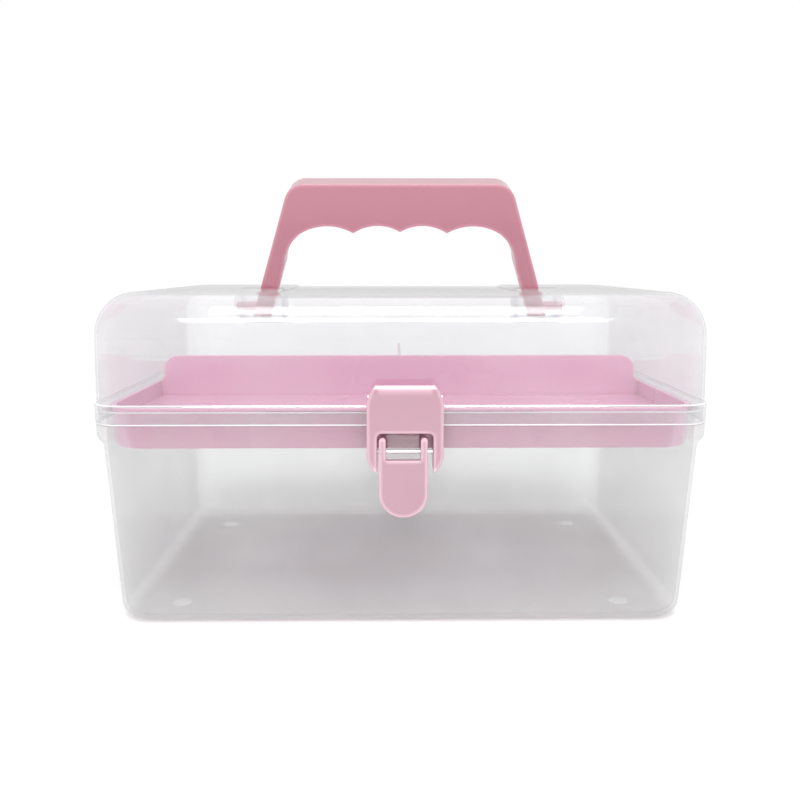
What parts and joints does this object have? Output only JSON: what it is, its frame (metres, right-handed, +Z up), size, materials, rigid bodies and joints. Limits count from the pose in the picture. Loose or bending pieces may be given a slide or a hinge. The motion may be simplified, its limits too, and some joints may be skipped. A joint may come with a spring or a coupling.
{
  "type": "sewing box with tray",
  "caption": "Clear plastic sewing box with a hinged domed lid, a swing carry handle, a front latch and a lift-out tray.",
  "frame": {"origin": "middle of the box's footprint, on the surface that it stands on", "axes": "+Z up, +X to the right seen from the latch side, -Y towards the latch, +Y towards the hinges"},
  "size_m": [0.276, 0.2026, 0.2095],
  "materials": {
    "clear_plastic": "clear, slightly hazy moulded plastic",
    "pink_plastic": "satin moulded plastic",
    "steel": "plain wire"
  },
  "bodies": {
    "tub": {"tub": "clear_plastic", "latch_catch": "clear_plastic", "hinge_pin_left": "steel", "hinge_pin_right": "steel"},
    "lid": {"lid": "clear_plastic", "hasp_pin": "steel"},
    "handle": {"handle": "pink_plastic"},
    "tray": {"tray": "pink_plastic"},
    "hasp": {"latch_hasp": "pink_plastic", "lever_pin": "steel"},
    "lever": {"latch_lever": "pink_plastic"}
  },
  "joints": [
    {"name": "lid_hinge", "type": "hinge", "parent": "tub", "child": "lid", "pos_m": [0, 0.096, 0.094], "axis": [-1, 0, 0], "range_deg": [0, 110]},
    {"name": "handle_swing", "type": "hinge", "parent": "lid", "child": "handle", "pos_m": [0, 0, 0.143], "axis": [-1, 0, 0], "range_deg": [0, 32]},
    {"name": "hasp_hinge", "type": "hinge", "parent": "lid", "child": "hasp", "pos_m": [0, -0.0974, 0.1088], "axis": [-1, 0, 0], "range_deg": [0, 95]},
    {"name": "lever_hinge", "type": "hinge", "parent": "hasp", "child": "lever", "pos_m": [0, -0.0976, 0.0851], "axis": [-1, 0, 0], "range_deg": [0, 50]},
    {"name": "tray_lift", "type": "slide", "parent": "tub", "child": "tray", "axis": [0, 0, 1], "range_m": [0, 0.017]}
  ]
}
